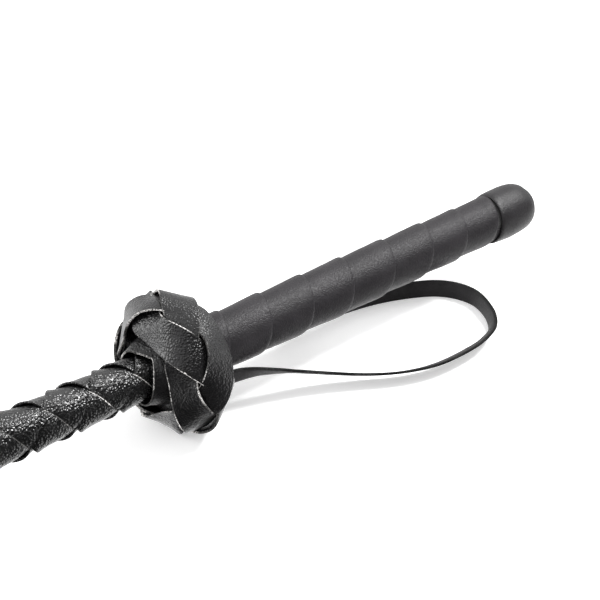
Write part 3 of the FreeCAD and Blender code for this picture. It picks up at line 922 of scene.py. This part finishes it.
def add_keeper_tongue():
    """One piece of leather folded back on itself at the free end, pressed down along its stitches.
    Its root stays inside a circle about the hinge, so that it turns clear of the neck."""
    level = (LEAF_T + LEAF_GAP) / 2
    reach = TONGUE_LENGTH - LEAF_T - LEAF_GAP / 2
    root = -HINGE_R * np.cos(np.linspace(0.09, math.pi / 2, 12))
    flat = np.concatenate([root, np.linspace(0.0006, 0.03, 38), np.linspace(0.031, reach, 40)])
    fold = np.linspace(0, math.pi, 12)[1:-1]
    x = np.concatenate([flat, reach + level * np.sin(fold), flat[::-1]])
    leaf = np.full(flat.size, level)
    z = np.concatenate([leaf, level * np.cos(fold), -leaf])
    half_w = np.interp(x, *zip(*TONGUE_SIDE))
    half_w[flat.size:flat.size + fold.size] = half_w[flat.size - 1] * (1 - 0.03 * np.sin(fold))
    line = np.stack([HINGE_X + x, 0 * x, z], axis=-1)
    forward = np.gradient(line, axis=0)
    forward /= np.linalg.norm(forward, axis=1)[:, None]
    face = np.stack([-forward[:, 2], 0 * x, forward[:, 0]], axis=-1)
    shape, (far_edge, near_edge) = strap_section(25, bevel=0.06)
    room = np.where(x < 0, np.sqrt(np.maximum(HINGE_R ** 2 - x ** 2, 0)) - level, LEAF_T)
    rows = []
    for u, t in shape:
        inset = half_w * (1 - abs(u))
        pressed = TONGUE_PRESSED * np.exp(-((inset - STITCH_INSET) / 0.0008) ** 2)
        pressed = pressed * (half_w > STITCHED_HALF_W)
        drop = TONGUE_EDGE_DROP * np.exp(-(inset / 0.0006) ** 2)
        row = line + face * (np.minimum(t * LEAF_T / 2, room) - (pressed + drop) * (t > 0))[:, None]
        row[:, 1] += u * half_w
        rows.append(row)
    sections = np.stack(rows, axis=1)
    sections[..., 2] += ripple(sections, 0.009, 0.00012)
    edges = far_edge | near_edge
    tongue = skin("keeper_tongue_leather", sections, [KEEPER_LEATHER, DARK_EDGE], edges)
    finish_piece(tongue, "keeper", "keeper_tongue")


def add_keeper_stitches():
    """Stitches along both long edges on both faces, each one sunk at its ends."""
    points = []
    faces = []
    around = 8
    share = np.linspace(-1, 1, 9)
    rise = LEAF_T + LEAF_GAP / 2
    for x in np.arange(STITCH_FROM, TONGUE_LENGTH - STITCH_TO_END, STITCH_SPACING):
        for side in (1, -1):
            for face in (1, -1):
                first = len(points)
                for s in share:
                    middle = side * (TONGUE_W / 2 - STITCH_INSET + 0.0001 * s)
                    height = rise - 0.0001 + STITCH_R * 0.9 * math.sqrt(1 - 0.94 * s ** 4)
                    size = STITCH_R * (1 - 0.45 * s ** 4)
                    for a in np.linspace(0, 2 * math.pi, around, endpoint=False):
                        points.append((
                            HINGE_X + x + STITCH_LENGTH / 2 * (1 + s),
                            middle + size * math.cos(a),
                            face * (height + size * 0.8 * math.sin(a) - STITCH_R * 0.5),
                        ))
                faces += tube_faces(len(share), around, first=first)
    stitches = add_piece("keeper_stitch_thread", points, faces, [BLACK_THREAD])
    finish_piece(stitches, "keeper", "keeper_stitching")


add_whipping()
add_keeper_neck()
add_keeper_tongue()
add_keeper_stitches()


# ---- the CAD pieces that stay -------------------------------------------------------------------
CAD_FINISH = {
    "core_rod": GLASS_ROD,
    "handle_tube": INNER_PLASTIC,
    "rod_bush_front": INNER_PLASTIC,
    "rod_bush_rear": INNER_PLASTIC,
    "butt_plug": INNER_PLASTIC,
    "handle_padding": FELT,
    "shaft_belly": BELLY_RUBBER,
    "strand_binding": BLACK_THREAD,
    "tip_cap": INNER_PLASTIC,
}

for node, material in CAD_FINISH.items():
    data = bpy.data.objects[node].data
    if not data.materials:
        data.materials.append(material)
    for i in range(len(data.materials)):
        data.materials[i] = material


# ---- floor and light ----------------------------------------------------------------------------
# Dark cards round the crop, seen only in reflections: a direction, and the cosines of the angles
# from it at which the darkness starts and is full.
DARK_CARDS = [((0.45, 0.60, -0.66), 0.22, 0.62), ((-0.35, 0.85, 0.39), 0.50, 0.85)]
LOW_STRENGTH = 2.3           # of the reflected surroundings, below
HIGH_STRENGTH = 0.95         # and above
FLOOR_SIZE = 6.0
LIGHT_AIM = Vector((KNOT_X - 0.08, 0, 0))


def add_floor():
    """A pale floor. It isn't seen in reflections, where the surroundings take its place."""
    signs = ((-1, -1), (1, -1), (1, 1), (-1, 1))
    corners = [(x * FLOOR_SIZE, y * FLOOR_SIZE, FLOOR_Z) for x, y in signs]
    material = new_material(
        "floor", (0.9, 0.9, 0.9), 0.9, Emission_Color=(1, 1, 1, 1), Emission_Strength=0.35,
    )[0]
    floor = add_piece("floor", corners, [(0, 1, 2, 3)], [material], smooth=False)
    floor.visible_glossy = False


def add_area_light(name, place, size, power):
    data = bpy.data.lights.new(name, "AREA")
    data.shape = "DISK"
    data.size = size
    data.energy = power
    light = bpy.data.objects.new(name, data)
    light.location = place
    aim = LIGHT_AIM - Vector(place)
    light.rotation_mode = "QUATERNION"
    light.rotation_quaternion = aim.to_track_quat("-Z", "Y")
    bpy.context.scene.collection.objects.link(light)


def facing(tree, direction, towards):
    """The cosine between a direction node's output and a fixed direction."""
    node = tree.nodes.new("ShaderNodeVectorMath")
    node.operation = "DOT_PRODUCT"
    node.inputs[1].default_value = towards
    tree.links.new(direction, node.inputs[0])
    return node.outputs["Value"]


def add_world():
    """White surroundings. Reflections show them brightest low down, with the dark cards in them."""
    world = bpy.data.worlds.new("world")
    world.use_nodes = True
    tree = world.node_tree
    direction = tree.nodes.new("ShaderNodeTexCoord").outputs["Generated"]
    height = facing(tree, direction, (0, 0, 1))
    strength = remap(tree, height, -0.7, 0.05, LOW_STRENGTH, HIGH_STRENGTH)
    for card, start, full in DARK_CARDS:
        uncovered = remap(tree, facing(tree, direction, card), start, full, 1.0, 0.02)
        shaded = tree.nodes.new("ShaderNodeMath")
        shaded.operation = "MULTIPLY"
        tree.links.new(strength, shaded.inputs[0])
        tree.links.new(uncovered, shaded.inputs[1])
        strength = shaded.outputs["Value"]
    reflected = tree.nodes.new("ShaderNodeMix")
    reflected.inputs["A"].default_value = 1.0
    ray = tree.nodes.new("ShaderNodeLightPath")
    tree.links.new(ray.outputs["Is Glossy Ray"], reflected.inputs["Factor"])
    tree.links.new(strength, reflected.inputs["B"])
    background = tree.nodes["Background"]
    background.inputs["Color"].default_value = (1, 1, 1, 1)
    tree.links.new(reflected.outputs["Result"], background.inputs["Strength"])
    bpy.context.scene.world = world


def add_light():
    add_world()
    add_area_light("overhead", (-0.95, 0.42, 1.95), 0.7, 62.0)
    add_area_light("side", (1.1, -0.9, 0.45), 0.8, 10.0)


add_floor()
add_light()

bpy.context.scene.view_settings.view_transform = "Standard"
